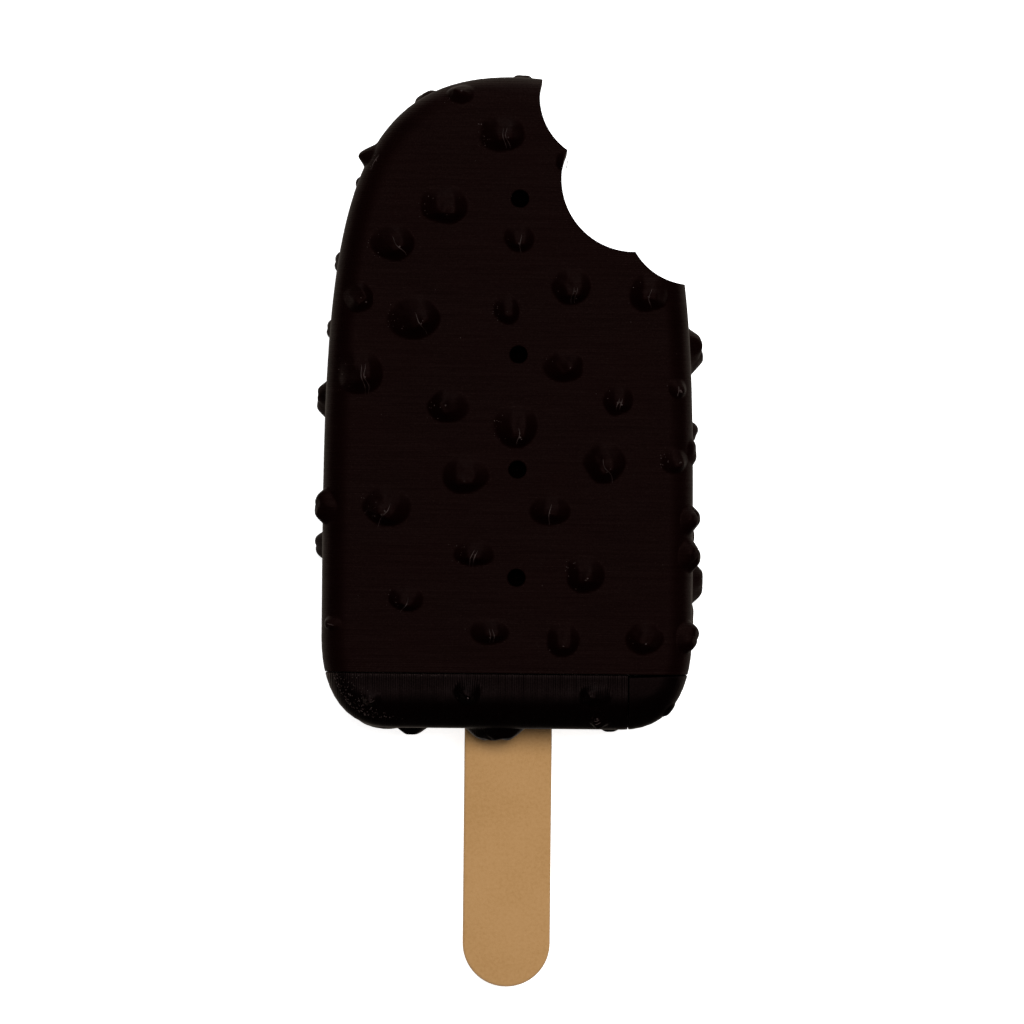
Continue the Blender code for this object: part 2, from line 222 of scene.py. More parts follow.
# Nuts of the sides, in mm and degrees: y, how far the tip stands out past the bar's outline, length along
# Y, and how far the nut is turned from the wall's middle towards the front.
LEFT_NUTS = (
    (65.6, 0.3, 3.4, -40),
    (56.3, 0.5, 3.6, -38),
    (48.2, 0.5, 3.3, -35),
    (39.5, 1.15, 4.8, 0),
    (26.6, 0.75, 4.6, 24),
    (21.9, 0.95, 4.2, -30),
)
RIGHT_NUTS = (
    (45.8, 1.62, 6.2, 0),
    (36.0, 0.6, 3.8, -35),
    (33.5, 0.36, 3.6, 10),
    (25.5, 0.55, 3.8, 30),
    (23.4, 0.42, 3.4, -10),
    (21.1, 0.6, 4.4, 30),
    (17.7, 1.5, 5.8, -8),
    (13.6, 0.3, 4.0, 0),
    (11.3, 0.5, 4.2, 33),
    (2.4, 0.18, 2.4, 10),
)
# Nuts of the bottom and top edges, in mm: x, z, how far the tip stands out, length along X.
BOTTOM_NUTS = (
    (-15.4, 1.0, 0.3, 7.0),
    (-11.4, -2.0, 1.0, 4.2),
    (-1.3, 5.0, 1.4, 7.6),
    (12.6, -4.5, 0.5, 3.2),
)
TOP_NUTS = ((-10.3, -5.0, 0.9, 4.4), (1.3, -4.5, 0.8, 3.4))

# The second size of a side's nut and of an end's nut, as a share of the one above.
SIDE_NUT_SHARE = 0.9
END_NUT_SHARE = 0.85

# Nuts of the back, scattered evenly by a seeded draw: each goes to the roomiest of some random places. Their
# widths and height are in mm.
NUT_SEED = 11
BACK_NUT_COUNT = 27
BACK_CANDIDATES = 24
BACK_INSET = 4.5 * MM
BACK_WIDTHS = (4.4, 6.2)
BACK_STRETCHES = (0.75, 1.0)
BACK_NUT_HEIGHT = 1.75

# The camera's view: the point under its middle, its width at the front face, and its tilt.
VIEW_X = 0.5 * MM
VIEW_Y = 26.1 * MM
VIEW_WIDTH = 122.9 * MM
VIEW_ROLL = math.radians(0.55)
CAMERA_HEIGHT = 1.2
SENSOR_WIDTH = 36.0


def bar_origin():
    """Where the bar's own frame has its zero, worked out from the solid stick's place."""
    low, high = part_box("stick")
    return Vector(((low.x + high.x) / 2 - STICK_X, low.y - SOLID_STICK_BOTTOM_Y, (low.z + high.z) / 2))


ORIGIN = bar_origin()


# The outline and the plain surface.


def bezier(start, start_handle, end_handle, end, steps):
    points = geometry.interpolate_bezier(
        Vector(start), Vector(start_handle), Vector(end_handle), Vector(end), steps + 1
    )
    return [(point.x, point.y) for point in points]


def bar_outline():
    """The bar's outline, counter-clockwise, as evenly spaced points and their outward directions."""
    low = (BOTTOM_FLAT_HALF, 0)
    wide = (HALF_WIDTH, WIDEST_Y)
    crown = (0, BAR_LENGTH)
    right = bezier(low, (CORNER_PULL_X, 0), (HALF_WIDTH, CORNER_PULL_Y), wide, 200)[:-1]
    right += bezier(wide, (HALF_WIDTH, SHOULDER_Y), (CROWN_PULL_X, BAR_LENGTH), crown, 400)
    left = [(-x, y) for x, y in reversed(right)][1:]
    fine = np.array(right + left + [low])
    run = np.concatenate([[0], np.cumsum(np.linalg.norm(np.diff(fine, axis=0), axis=1))])
    count = round(run[-1] / OUTLINE_STEP)
    at = np.arange(count) / count * run[-1]
    points = np.stack([np.interp(at, run, fine[:, axis]) for axis in (0, 1)], axis=1)
    ahead = np.roll(points, -1, axis=0) - np.roll(points, 1, axis=0)
    ahead /= np.linalg.norm(ahead, axis=1)[:, None]
    return points, np.stack([ahead[:, 1], -ahead[:, 0]], axis=1)


OUTLINE, OUTWARD = bar_outline()
CORE = OUTLINE - OUTWARD * EDGE_ROUND


def nearest_on_core(spots):
    """The nearest points of the core outline to these points of the plane."""
    spans = np.roll(CORE, -1, axis=0) - CORE
    best = np.full(len(spots), np.inf)
    found = np.zeros_like(spots)
    for start, span in zip(CORE, spans):
        share = np.clip((spots - start) @ span / (span @ span), 0, 1)
        near = start + share[:, None] * span
        gap = np.einsum("ij,ij->i", spots - near, spots - near)
        closer = gap < best
        best[closer] = gap[closer]
        found[closer] = near[closer]
    return found


def inside_core(spots):
    inside = np.zeros(len(spots), bool)
    ends = np.roll(CORE, -1, axis=0)
    for (ax, ay), (bx, by) in zip(CORE, ends):
        crosses = (ay > spots[:, 1]) != (by > spots[:, 1])
        if crosses.any():
            x_at = ax + (spots[:, 1] - ay) * (bx - ax) / (by - ay if by != ay else 1e-12)
            inside ^= crosses & (spots[:, 0] < x_at)
    return inside


def on_surface(points):
    """The plain bar's surface nearest to these points, and its outward directions."""
    core = points.copy()
    outside = ~inside_core(points[:, :2])
    core[outside, :2] = nearest_on_core(points[outside, :2])
    core[:, 2] = np.clip(points[:, 2], -CORE_Z, CORE_Z)
    away = points - core
    length = np.linalg.norm(away, axis=1)
    away /= np.maximum(length, 1e-9)[:, None]
    return core + away * EDGE_ROUND, away


def half_width_at(y):
    right = OUTLINE[OUTLINE[:, 0] > 0]
    order = np.argsort(right[:, 1])
    return float(np.interp(y, right[order, 1], right[order, 0]))


def front_place(x, y, side=1):
    """The point of the front (or back) surface under x, y, and the surface's direction there."""
    spot = np.array([[x, y]])
    if inside_core(spot)[0]:
        return Vector((x, y, side * FRONT_Z)), Vector((0, 0, side))
    near = nearest_on_core(spot)[0]
    out = Vector((x - near[0], y - near[1]))
    reach = min(out.length, 0.999 * EDGE_ROUND)
    flat = out.normalized() * (reach / EDGE_ROUND)
    normal = Vector((flat.x, flat.y, side * math.sqrt(1 - flat.length_squared)))
    core = Vector((near[0], near[1], side * CORE_Z))
    return core + normal * EDGE_ROUND, normal


def side_place(side, y, turn):
    """A place on a side: the middle of the wall, or on a rounded edge where the turn is not 0."""
    direction = Vector((side * math.cos(turn), 0, math.sin(turn)))
    edge_z = math.copysign(CORE_Z, turn) if turn else 0
    edge_x = side * (half_width_at(y) - EDGE_ROUND)
    guess = Vector((edge_x, y, edge_z)) + direction * EDGE_ROUND
    place, normal = on_surface(np.array([guess]))
    return Vector(place[0]), Vector(normal[0])


def end_place(side, x, z):
    """A place on the bottom (-1) or top (1) edge."""
    half = OUTLINE[(OUTLINE[:, 1] - BAR_LENGTH / 2) * side > 0]
    near = half[np.argmin(np.abs(half[:, 0] - x))]
    place, normal = on_surface(np.array([[x, near[1], z]]))
    return Vector(place[0]), Vector(normal[0])


# The nuts under the coating.


class Nut:
    """A mound on an uneven oval foot, with a short ridge or, where it is crested, a long narrow crest."""

    def __init__(self, place, normal, width, length, height, lean, rng, fine, crested=False):
        self.place = np.array(place)
        self.normal = np.array(normal)
        along_hint = Vector((0, 1, 0)) if abs(normal.y) < 0.8 else Vector((0, 0, 1))
        along = (along_hint - normal * along_hint.dot(normal)).normalized()
        self.along = np.array(along)
        self.across = np.array(along.cross(normal).normalized())
        self.half = (width / 2, length / 2)
        self.height = height
        self.lean = lean
        self.ridge_half = RIDGE_SHARE * min(width, length) / 2
        self.feet = [rng.uniform(*FOOT_SHARES) for _ in range(NUT_SIDES)]
        own = random.Random(f"{place.x:.5f} {place.y:.5f}")
        self.seed = Vector((own.uniform(0, 50), own.uniform(0, 50), 0))
        self.peak_shift = own.uniform(*PEAK_SHIFTS)
        self.crest_shift = own.uniform(*CREST_SHIFTS)
        self.crest_half = own.uniform(*CREST_HALVES)
        self.fine = fine
        self.crested = crested

    def reach(self):
        return max(self.half) * FOOT_REACH

    def heights(self, skin):
        """How far the coating stands up over the nut at these points of the plain surface."""
        offset = skin - self.place
        x = offset @ self.across
        y = offset @ self.along
        angle = np.arctan2(y / self.half[1], x / self.half[0])
        turn = angle / math.tau * NUT_SIDES % NUT_SIDES
        feet = np.array(self.feet + self.feet[:1])
        foot = np.interp(turn, np.arange(NUT_SIDES + 1), feet)
        if self.crested:
            return self.crested_heights(x / self.half[0] / foot, y / self.half[1] / foot)
        spread = np.hypot(x / self.half[0], y / self.half[1]) / foot
        foot_radius = np.hypot(np.cos(angle) * self.half[0], np.sin(angle) * self.half[1]) * foot
        ridge = self.ridge_half * np.abs(np.cos(np.arctan2(y, x) - self.lean)) / foot_radius
        spread = np.clip((spread - ridge) / (1 - ridge), 0, 1)
        return self.height * (1 - spread**2) ** 1.5

    def crested_heights(self, across, along):
        """Heights from the place within the foot, which is a unit circle here."""
        ahead = np.array([math.cos(self.lean) / self.half[0], math.sin(self.lean) / self.half[1]])
        ahead /= np.linalg.norm(ahead)
        run = np.clip(across * ahead[0] + along * ahead[1], -1, 1)
        forward = run + self.peak_shift
        reach = np.where(forward > 0, 1 + self.peak_shift, 1 - self.peak_shift)
        crest = straight_mound(np.abs(forward) / reach)
        chord = np.sqrt(np.maximum(1 - run**2, 1e-6))
        sideways = np.clip((across * ahead[1] - along * ahead[0]) / chord, -1, 1) - self.crest_shift
        room = np.where(sideways > 0, 1 - self.crest_shift, 1 + self.crest_shift) - self.crest_half
        flank = straight_mound(np.clip((np.abs(sideways) - self.crest_half) / room, 0, 1))
        flank *= 1 - CREST_FALL * np.minimum(np.abs(sideways) / self.crest_half, 1) ** 2
        return self.height * crest * flank


def straight_mound(spread):
    """Heights from 1 at the ridge to 0 at the foot, with one steady slope between the rounded ends."""
    slope = 1 / (1 - RIDGE_ROUND / 2 - FOOT_ROUND / 2)
    ridge = 1 - slope * spread**2 / (2 * RIDGE_ROUND)
    flank = 1 - slope * (spread - RIDGE_ROUND / 2)
    foot = slope * (1 - spread) ** 2 / (2 * FOOT_ROUND)
    return np.where(spread < RIDGE_ROUND, ridge, np.where(spread > 1 - FOOT_ROUND, foot, flank))


def make_nuts():
    """All nuts, those of the front first."""
    rng = random.Random(NUT_SEED)
    nuts = []
    for x, y, width, length, height, lean in FRONT_NUTS:
        place, normal = front_place(x * MM, y * MM)
        size = (width * MM, length * MM, height * MM)
        nuts.append(Nut(place, normal, *size, math.radians(lean), rng, fine=True, crested=True))
    for side, rows in ((-1, LEFT_NUTS), (1, RIGHT_NUTS)):
        for y, stand_out, length, turn in rows:
            turn = math.radians(turn)
            height = (EDGE_ROUND + stand_out * MM) / math.cos(turn) - EDGE_ROUND
            place, normal = side_place(side, y * MM, turn)
            lean = rng.uniform(0, math.pi)
            width = SIDE_NUT_SHARE * length
            nuts.append(Nut(place, normal, width * MM, length * MM, height, lean, rng, turn >= 0))
    for side, rows in ((-1, BOTTOM_NUTS), (1, TOP_NUTS)):
        for x, z, height, width in rows:
            place, normal = end_place(side, x * MM, z * MM)
            lean = rng.uniform(0, math.pi)
            size = (width * MM, END_NUT_SHARE * width * MM, height * MM)
            nuts.append(Nut(place, normal, *size, lean, rng, z > 0))
    return nuts + back_nuts(rng)


def back_nuts(rng):
    """Nuts scattered evenly over the back."""
    places = []
    for _ in range(BACK_NUT_COUNT):
        candidates = []
        for _ in range(BACK_CANDIDATES):
            y = rng.uniform(SEAM_Y + BACK_INSET, BAR_LENGTH - BACK_INSET)
            candidates.append((rng.uniform(-1, 1) * (half_width_at(y) - BACK_INSET), y))
        places.append(max(candidates, key=lambda spot: min([math.dist(spot, p) for p in places] + [1])))
    nuts = []
    for x, y in places:
        place, normal = front_place(x, y, side=-1)
        width = rng.uniform(*BACK_WIDTHS) * MM
        length = width * rng.uniform(*BACK_STRETCHES)
        lean = rng.uniform(0, math.pi)
        nuts.append(Nut(place, normal, width, length, BACK_NUT_HEIGHT * MM, lean, rng, False))
    return nuts


# The bar's mesh.


def plain_bar():
    """The slab as a closed mesh: flat faces cut into a grid, and a rounded section swept round them."""
    work = bmesh.new()
    quarter = [math.pi / 2 * step / EDGE_STEPS for step in range(EDGE_STEPS + 1)]
    section = [(math.sin(turn), CORE_Z + EDGE_ROUND * math.cos(turn)) for turn in quarter]
    wall_steps = round(2 * CORE_Z / CELL)
    section += [(1, CORE_Z - 2 * CORE_Z * step / wall_steps) for step in range(1, wall_steps)]
    section += [(reach, -z) for reach, z in reversed(section[: EDGE_STEPS + 1])]
    rings = []
    for reach, z in section:
        spots = CORE + OUTWARD * (EDGE_ROUND * reach)
        rings.append([work.verts.new((x, y, z)) for x, y in spots])
    count = len(CORE)
    for upper, lower in zip(rings, rings[1:]):
        for i in range(count):
            j = (i + 1) % count
            work.faces.new((upper[j], upper[i], lower[i], lower[j]))
    flats = [work.faces.new(rings[0]), work.faces.new(list(reversed(rings[-1])))]
    for axis, low, high in ((0, -HALF_WIDTH, HALF_WIDTH), (1, 0, BAR_LENGTH)):
        normal = Vector((1, 0, 0)) if axis == 0 else Vector((0, 1, 0))
        for step in range(1, round((high - low) / CELL)):
            geom = flats + list({edge for face in flats for edge in face.edges})
            geom += list({vert for face in flats for vert in face.verts})
            cut = bmesh.ops.bisect_plane(
                work,
                geom=geom,
                dist=GRID_TOLERANCE,
                plane_co=normal * (low + step * CELL),
                plane_no=normal,
            )
            flats = [item for item in cut["geom"] if isinstance(item, bmesh.types.BMFace)]
    return work


def refine_round(work, nuts, cuts):
    """Cuts the faces that these nuts touch into smaller ones."""
    work.faces.ensure_lookup_table()
    centres = np.array([face.calc_center_median() for face in work.faces])
    near = np.zeros(len(centres), bool)
    for nut in nuts:
        near |= np.linalg.norm(centres - nut.place, axis=1) < nut.reach() + CELL
    touched = [work.faces[i] for i in np.flatnonzero(near)]
    many = [face for face in touched if len(face.verts) > 4]
    made = bmesh.ops.triangulate(work, faces=many)["faces"] if many else []
    touched = [face for face in touched if face.is_valid and face not in many] + list(made)
    edges = list({edge for face in touched for edge in face.edges})
    bmesh.ops.subdivide_edges(work, edges=edges, cuts=cuts, use_grid_fill=True)


def coated(points, nuts):
    """The coated surface over these points: the plain one, raised by the nuts and thinned to the bottom."""
    skin, outward = on_surface(points)
    height = np.zeros(len(skin))
    direction = outward.copy()
    for nut in nuts:
        far = np.linalg.norm(skin - nut.place, axis=1)
        near = np.flatnonzero(far < nut.reach() * CURVE_ALLOWANCE)
        rise = nut.heights(skin[near])
        if nut.fine:
            rise *= roughness_of(skin[near], nut)
        higher = rise > height[near]
        chosen = near[higher]
        height[chosen] = rise[higher]
        direction[chosen] = outward[chosen] + NUT_PULL * nut.normal
    direction /= np.linalg.norm(direction, axis=1)[:, None]
    skin = skin + direction * height[:, None]
    low = np.clip((THINNING_Y - skin[:, 1]) / THINNING_Y, 0, 1)
    skin[:, 2] *= 1 - BOTTOM_THINNING / FRONT_Z * low**2
    skin[:, 2] = np.maximum(skin[:, 2], REST_Z)
    return skin


def roughness_of(points, nut):
    """A slow unevenness of the coating over one nut."""
    return np.array(
        [1 + LUMP_DEPTH * noise.noise(Vector(point) / LUMP_SIZE + nut.seed) for point in points]
    )


def cut_off(work, place, normal):
    """Removes what lies beyond a plane, eases the new edge and closes the cut with a flat face."""
    place, normal = Vector(place), Vector(normal).normalized()
    geom = work.verts[:] + work.edges[:] + work.faces[:]
    eased = place - normal * EDGE_EASE
    bmesh.ops.bisect_plane(work, geom=geom, dist=CUT_TOLERANCE, plane_co=eased, plane_no=normal)
    geom = work.verts[:] + work.edges[:] + work.faces[:]
    bmesh.ops.bisect_plane(
        work, geom=geom, dist=CUT_TOLERANCE, plane_co=place, plane_no=normal, clear_outer=True
    )
    work.normal_update()
    rim = [edge for edge in work.edges if edge.is_boundary]
    for vert in {vert for edge in rim for vert in edge.verts}:
        inward = vert.normal - normal * vert.normal.dot(normal)
        vert.co -= inward.normalized() * EDGE_EASE
    bmesh.ops.holes_fill(work, edges=rim, sides=0)


def mesh_object(name, work, smooth_angle=SMOOTH_ANGLE):
    """An object in the frame's own place, made from a mesh in the bar's frame."""
    mesh = bpy.data.meshes.new(name)
    work.transform(Matrix.Translation(ORIGIN))
    bmesh.ops.recalc_face_normals(work, faces=work.faces)
    work.to_mesh(mesh)
    work.free()
    obj = bpy.data.objects.new(name, mesh)
    bpy.context.scene.collection.objects.link(obj)
    mesh.shade_smooth()
    mesh.set_sharp_from_angle(angle=math.radians(smooth_angle))
    return obj


def turned(x, y, profile, sides):
    """A round cutter with an upright axis, from its (radius, z) profile."""
    turns = [math.tau * step / sides for step in range(sides)]
    rings = [[(x + r * math.cos(turn), y + r * math.sin(turn), z) for turn in turns] for r, z in profile]
    return mesh_object("cutter", loft(rings))


def stick_outline(grow, arc_steps):
    """A stick outline with a half circle at each end."""
    radius = STICK_HALF_WIDTH + grow
    low, high = STICK_BOTTOM_Y + STICK_HALF_WIDTH, STICK_TOP_Y - STICK_HALF_WIDTH
    points = []
    for centre_y, start in ((low, math.pi), (high, 0)):
        for step in range(arc_steps + 1):
            turn = start + math.pi * step / arc_steps
            points.append((STICK_X + radius * math.cos(turn), centre_y + radius * math.sin(turn)))
    return points


def plate(layers, arc_steps):
    """A stick-shaped plate, lofted through (growth, z) layers from bottom to top."""
    return loft([[(x, y, z) for x, y in stick_outline(grow, arc_steps)] for grow, z in layers])


def loft(outlines):
    """A closed solid through these outlines, from bottom to top."""
    work = bmesh.new()
    rings = [[work.verts.new(spot) for spot in outline] for outline in outlines]
    count = len(rings[0])
    for lower, upper in zip(rings, rings[1:]):
        for i in range(count):
            j = (i + 1) % count
            work.faces.new((lower[i], lower[j], upper[j], upper[i]))
    work.faces.new(list(reversed(rings[0])))
    work.faces.new(rings[-1])
    return work


def subtract(obj, cutters):
    """Cuts the cutters out of the object and removes them."""
    for number, cutter in enumerate(cutters):
        modifier = obj.modifiers.new(f"cut_{number}", "BOOLEAN")
        modifier.operation = "DIFFERENCE"
        modifier.solver = "EXACT"
        modifier.object = cutter
    bpy.context.view_layer.update()
    graph = bpy.context.evaluated_depsgraph_get()
    mesh = bpy.data.meshes.new_from_object(obj.evaluated_get(graph))
    obj.modifiers.clear()
    obj.data = mesh
    mesh.shade_smooth()
    mesh.set_sharp_from_angle(angle=math.radians(SMOOTH_ANGLE))
    for cutter in cutters:
        bpy.data.objects.remove(cutter, do_unlink=True)


def slot_cutter():
    half = STICK_THICKNESS / 2 + SLOT_GAP
    return mesh_object("cutter", plate(((SLOT_GAP, -half), (SLOT_GAP, half)), SLOT_ARC_STEPS))


def make_bar(nuts):
    """The shell, the cap and its corner piece, cut from one coated bar."""
    work = plain_bar()
    refine_round(work, [nut for nut in nuts if not nut.fine], PLAIN_CUTS)
    refine_round(work, [nut for nut in nuts if nut.fine], FINE_CUTS)
    for vert, place in zip(work.verts, coated(np.array([vert.co for vert in work.verts]), nuts)):
        vert.co = place

    seam_top, seam_bottom = SEAM_Y + SLIT_GAP / 2, SEAM_Y - SLIT_GAP / 2
    slit_left, slit_right = SLIT_X - SLIT_GAP / 2, SLIT_X + SLIT_GAP / 2
    slope = (-CORNER_DROP / (HALF_WIDTH - slit_right), 1, CORNER_DROP / BAR_THICKNESS)
    planes = {
        "shell": (((0, seam_top, 0), (0, -1, 0)),),
        "end_cap": (((0, seam_bottom, 0), (0, 1, 0)), ((slit_left, 0, 0), (1, 0, 0))),
        "cap_corner": (
            ((slit_right, seam_bottom - CORNER_DROP, FRONT_Z), slope),
            ((0, seam_bottom, 0), (0, 1, 0)),
            ((slit_right, 0, 0), (-1, 0, 0)),
        ),
    }
    pieces = {}
    for name, cuts in planes.items():
        piece = work.copy()
        for place, normal in cuts:
            cut_off(piece, place, normal)
        pieces[name] = mesh_object("visual_" + name, piece)
    work.free()

    through = (-BAR_THICKNESS, BAR_THICKNESS)
    cutters = [turned(x, y, [(r, z) for z in through], BITE_SIDES) for x, y, r in BITE_SCALLOPS]
    drill = (
        (HOLE_TIP_SHARE * HOLE_RADIUS, FRONT_Z - HOLE_DEPTH - HOLE_CONE_SHARE * HOLE_RADIUS),
        (HOLE_RADIUS, FRONT_Z - HOLE_DEPTH),
        (HOLE_RADIUS, FRONT_Z - HOLE_EASE),
        (HOLE_RADIUS + 2 * HOLE_EASE, FRONT_Z + HOLE_EASE),
    )
    cutters += [turned(HOLE_X, y, drill, HOLE_SIDES) for y in HOLE_YS]
    subtract(pieces["shell"], cutters + [slot_cutter()])
    subtract(pieces["end_cap"], [slot_cutter()])
    return pieces


def make_stick():
    half = STICK_THICKNESS / 2
    turns = [math.pi / 2 * step / BEVEL_STEPS for step in range(BEVEL_STEPS + 1)]
    upper = [(STICK_BEVEL * (math.cos(t) - 1), half - STICK_BEVEL * (1 - math.sin(t))) for t in turns]
    lower = [(grow, -z) for grow, z in reversed(upper)]
    return mesh_object("visual_stick", plate(lower + upper, STICK_ARC_STEPS))


def make_specks(nuts):
    """Stray beads and threads of plastic, mostly beside the nuts, on their crests (where their pale tone is
    a painted glint) and at the cap's left.
    """
    rng = random.Random(SPECK_SEED)
    work = bmesh.new()
    spots = []
    for row, nut in zip(FRONT_NUTS, nuts):
        spots += dress_nut(work, nuts, row, nut, rng)
    spots += cap_spots(rng) + seam_spots(rng) + loose_spots(rng)
    starts = np.array([(x * MM, y * MM, FRONT_Z) for x, y, _, _ in spots])
    for place, (_, _, scale, longest) in zip(coated(starts, nuts), spots):
        if any(math.dist(place[:2], (x, y)) < r + BITE_MARGIN for x, y, r in BITE_SCALLOPS):
            continue
        size = scale * rng.uniform(*SPECK_SIZES)
        turned_by = Matrix.Rotation(rng.uniform(0, math.tau), 4, "Z")
        stretch = Matrix.Diagonal((size * rng.uniform(1, longest), size, size * SPECK_FLATNESS, 1))
        matrix = Matrix.Translation(place) @ turned_by @ stretch
        bmesh.ops.create_icosphere(work, subdivisions=1, radius=1, matrix=matrix)
    return mesh_object("visual_specks", work, smooth_angle=180)


def dress_nut(work, nuts, row, nut, rng):
    """Adds the threads of one nut of the front and returns the spots of its beads, in mm."""
    x, y, width, length, _, lean = row
    turn = math.radians(lean)
    ahead = np.array([math.cos(turn), math.sin(turn)])
    beside = np.array([ahead[1], -ahead[0]])
    reach = min(width, length) / 2
    peak = np.array([x, y]) - ahead * nut.peak_shift * reach + beside * nut.crest_shift * reach
    spots = []
    rough = rng.random() < ROUGH_SHARE
    for _ in range(rng.randint(*ROUGH_COUNTS) if rough else rng.randint(*SMOOTH_COUNTS)):
        left = width * rng.uniform(*LEFT_SHARES)
        up = length * rng.uniform(*UP_SHARES)
        spots.append((x - left, y + up, *NUT_BEAD))
    # The beads and threads on the crest are pale: painted glints near the peak.
    for _ in range(rng.choice(CREST_COUNTS)):
        spot = peak + ahead * rng.uniform(*CREST_AHEAD) + beside * rng.uniform(*CREST_BESIDE)
        spots.append((*spot, *CREST_BEAD))
    half_length = reach / 2 * rng.uniform(*THREAD_SHARES)
    phase = rng.uniform(0, math.tau)
    for across in rng.choice(THREAD_ROWS):
        add_thread(work, nuts, peak + beside * across, ahead, half_length, phase, rng)
    return spots


def cap_spots(rng):
    """Spots on the cap's left end, crowded towards its edge."""
    spots = []
    for _ in range(CAP_SPECKS):
        y = rng.uniform(*CAP_SPECK_YS)
        inward = CAP_SPECK_REACH * rng.random() ** CAP_SPECK_CROWDING
        spots.append((inward - half_width_at(y * MM) / MM, y, *CAP_BEAD))
    return spots


def seam_spots(rng):
    """Spots along the left part of the seam."""
    spots = []
    for _ in range(SEAM_SPECKS):
        x = rng.uniform(*SEAM_SPECK_XS)
        y = SEAM_SPECK_Y + rng.uniform(-SEAM_SPECK_SPREAD, SEAM_SPECK_SPREAD)
        spots.append((x, y, *SEAM_BEAD))
    return spots


def loose_spots(rng):
    """Spots anywhere on the front."""
    spots = []
    for _ in range(LOOSE_SPECKS):
        y = rng.uniform(*LOOSE_SPECK_YS)
        spots.append((rng.uniform(*LOOSE_SPECK_XS) * half_width_at(y * MM) / MM, y, *LOOSE_BEAD))
    return spots


def add_thread(work, nuts, middle, ahead, half_length, phase, rng):
    """A thin thread, pointed at both ends, that lies along a nut's crest. Lengths are in mm."""
    bend = rng.uniform(*THREAD_BENDS)
    beside = np.array([ahead[1], -ahead[0]])
    path = []
    for step in range(THREAD_STEPS + 1):
        along = half_length * (2 * step / THREAD_STEPS - 1)
        spot = middle + ahead * along + beside * bend * math.sin(along / THREAD_WAVE + phase)
        path.append((spot[0] * MM, spot[1] * MM, FRONT_Z))
    rings = []
    for step, place in enumerate(coated(np.array(path), nuts)):
        radius = THREAD_RADIUS * math.sin(math.pi * (step + 0.15) / (THREAD_STEPS + 0.3)) ** 0.5
        ring = []
        for side in range(THREAD_SIDES):
            turn = math.tau * side / THREAD_SIDES
            out = beside * math.cos(turn) * radius
            ring.append((place[0] + out[0], place[1] + out[1], place[2] + radius * math.sin(turn)))
        rings.append([work.verts.new(spot) for spot in ring])
    for lower, upper in zip(rings, rings[1:]):
        for i in range(THREAD_SIDES):
            j = (i + 1) % THREAD_SIDES
            work.faces.new((lower[i], lower[j], upper[j], upper[i]))
    work.faces.new(list(reversed(rings[0])))
    work.faces.new(rings[-1])


# Materials.


class Nodes:
    """Small helper for building the node tree of a material or a world."""

    def __init__(self, owner):
        self.owner = owner
        owner.use_nodes = True
        self.tree = owner.node_tree
        self.shader = self.tree.nodes.get("Principled BSDF")

    def add(self, kind, **settings):
        node = self.tree.nodes.new("ShaderNode" + kind)
        for key, value in settings.items():
            setattr(node, key, value)
        return node

    def link(self, output, target):
        self.tree.links.new(output, target)

    def math(self, operation, first, second=None):
        node = self.add("Math", operation=operation)
        for socket, value in zip(node.inputs, (first, second)):
            if value is None:
                continue
            if isinstance(value, (int, float)):
                socket.default_value = value
            else:
                self.link(value, socket)
        return node.outputs[0]

    def weighted(self, *parts):
        """The sum of these values, each times its share."""
        total = None
        for value, share in parts:
            part = self.math("MULTIPLY", value, share)
            total = part if total is None else self.math("ADD", total, part)
        return total

    def bell(self, value):
        """1 where the value is 0, and falling to 0 on both sides."""
        square = self.math("MULTIPLY", value, value)
        return self.math("EXPONENT", self.math("MULTIPLY", square, -1))

    def noise(self, vector, scale, detail=2, roughness=0.5):
        node = self.add("TexNoise")
        node.inputs["Scale"].default_value = scale
        node.inputs["Detail"].default_value = detail
        node.inputs["Roughness"].default_value = roughness
        self.link(vector, node.inputs["Vector"])
        return node.outputs[0]

    def stretched(self, vector, scale):
        node = self.add("Mapping")
        node.inputs["Scale"].default_value = scale
        self.link(vector, node.inputs["Vector"])
        return node.outputs[0]

    def ramp(self, value, stops):
        node = self.add("ValToRGB")
        ramp = node.color_ramp
        while len(ramp.elements) < len(stops):
            ramp.elements.new(0.5)
        for element, (position, colour) in zip(ramp.elements, stops):
            element.position = position
            element.color = (*colour, 1)
        self.link(value, node.inputs[0])
        return node.outputs[0]

    def spread(self, value, low, high, start=0.0, end=1.0):
        """Maps the range from start to end onto the range from low to high, eased at both ends."""
        node = self.add("MapRange", interpolation_type="SMOOTHSTEP")
        node.inputs["From Min"].default_value = start
        node.inputs["From Max"].default_value = end
        node.inputs["To Min"].default_value = low
        node.inputs["To Max"].default_value = high
        self.link(value, node.inputs[0])
        return node.outputs[0]


LAYER_PITCH = 0.275 * MM
SHELL_BROWN = (0.0018, 0.0003, 0.00025)
CAP_BROWN = (0.0007, 0.0002, 0.0002)
SEAM_SHINE_REACH = 0.32 * MM
LINE_FADE = 2.8 * MM
FADED_LINES = 0.4

# How fine the patterns are, as a number of patches in a metre.
ALONG_LINES = 120
ACROSS_LINES = 3000
BLOTCHES = 140
GRAIN = 5200


